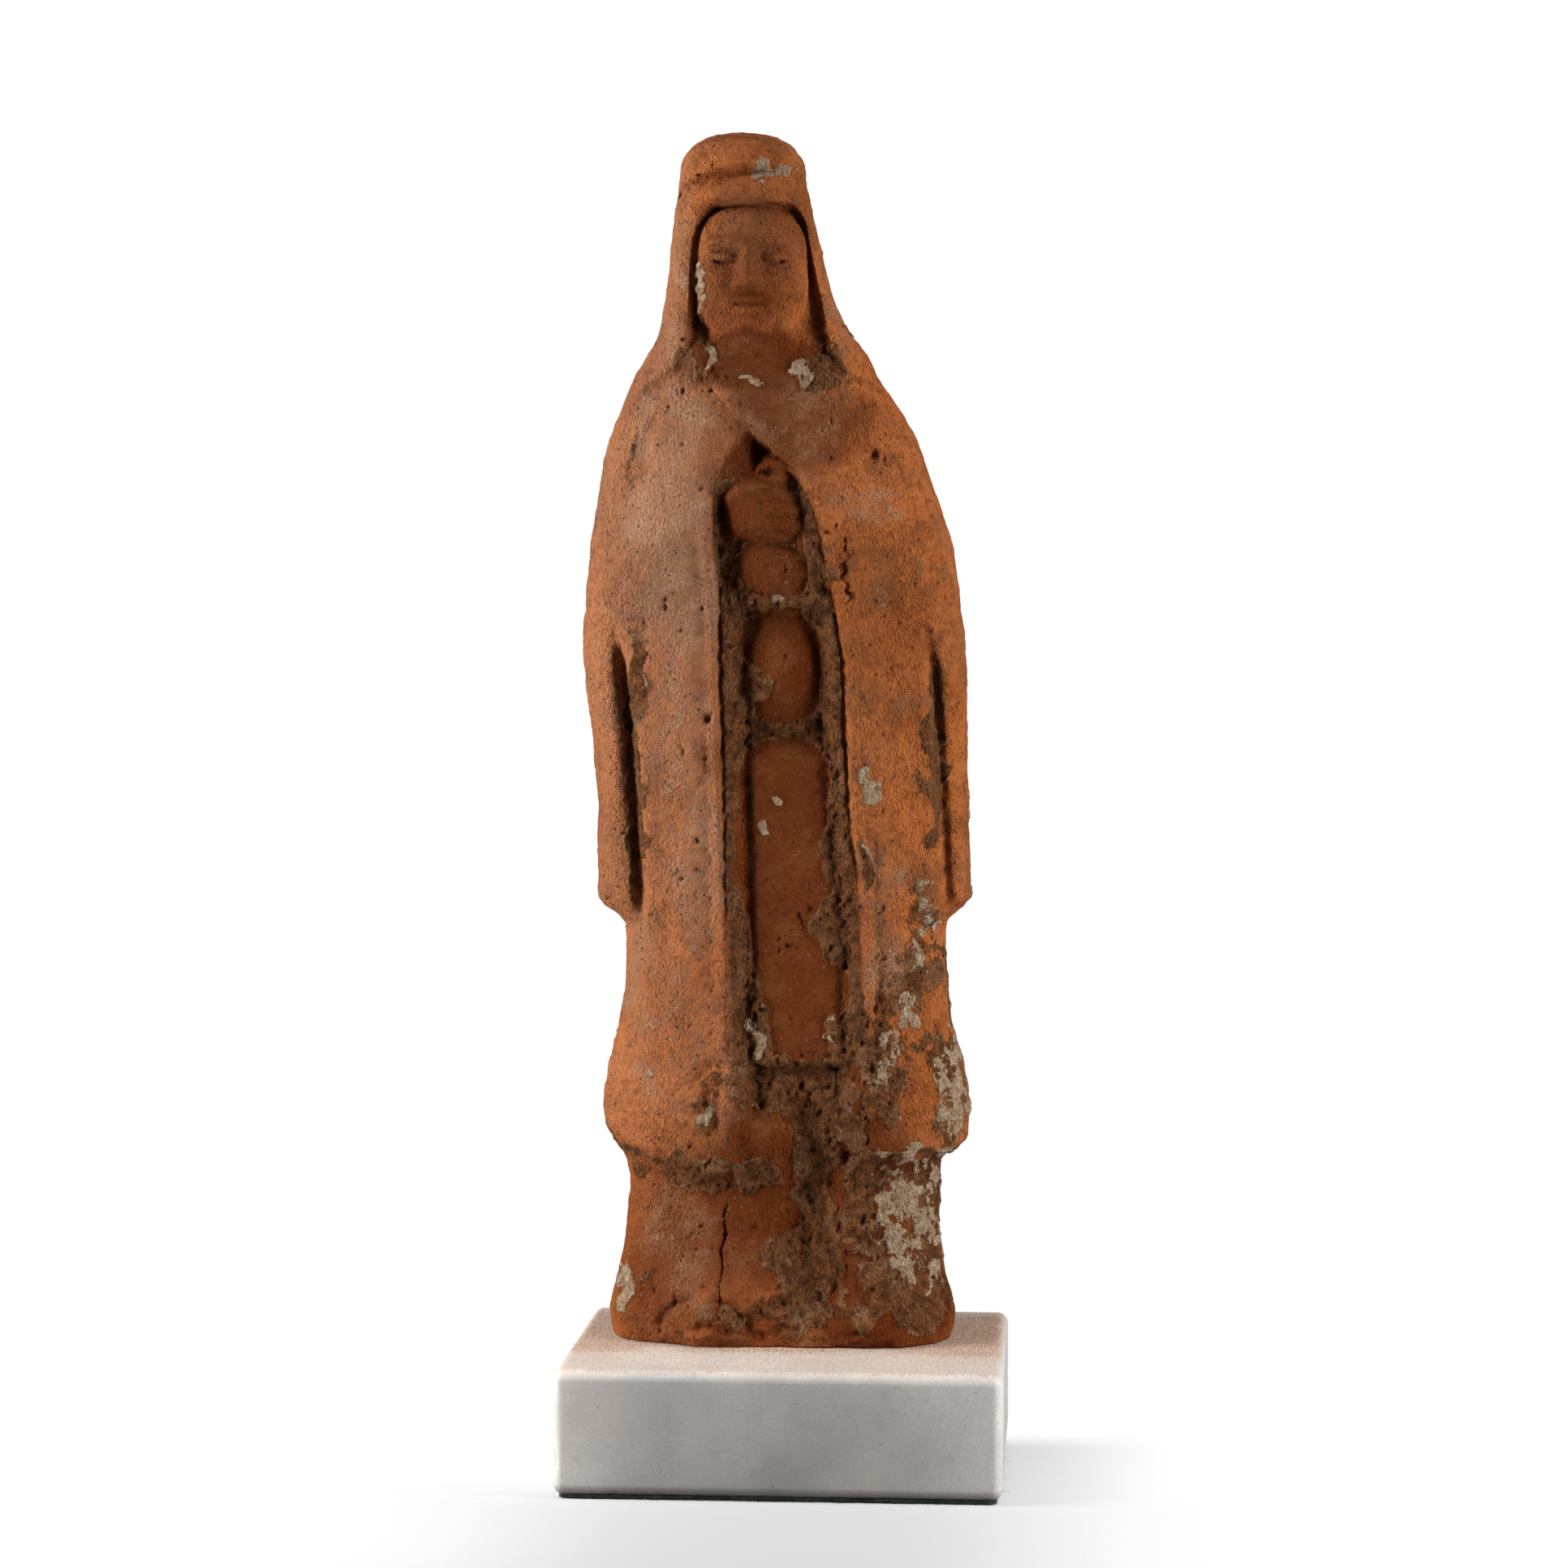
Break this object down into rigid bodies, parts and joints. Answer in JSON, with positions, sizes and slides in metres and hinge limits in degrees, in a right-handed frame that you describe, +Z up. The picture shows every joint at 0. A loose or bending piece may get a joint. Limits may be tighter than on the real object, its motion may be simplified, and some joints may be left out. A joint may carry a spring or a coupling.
{
  "type": "tomb attendant figure",
  "caption": "Mould-made clay attendant in a hooded cloak with empty hanging sleeves, fists closed round a lost staff, mounted on a small marble block.",
  "frame": {"origin": "bottom centre of the felt pad under the marble block, on the surface that it stands on", "axes": "+Z up along the figure's height, -Y the way the figure faces, +X towards the figure's left hand"},
  "size_m": [0.088, 0.0728, 0.2704],
  "materials": {
    "clay": "matte",
    "marble": "satin",
    "felt": "matte"
  },
  "bodies": {
    "root": {"figure": "clay", "marble_block": "marble", "felt_pad": "felt"}
  },
  "joints": []
}
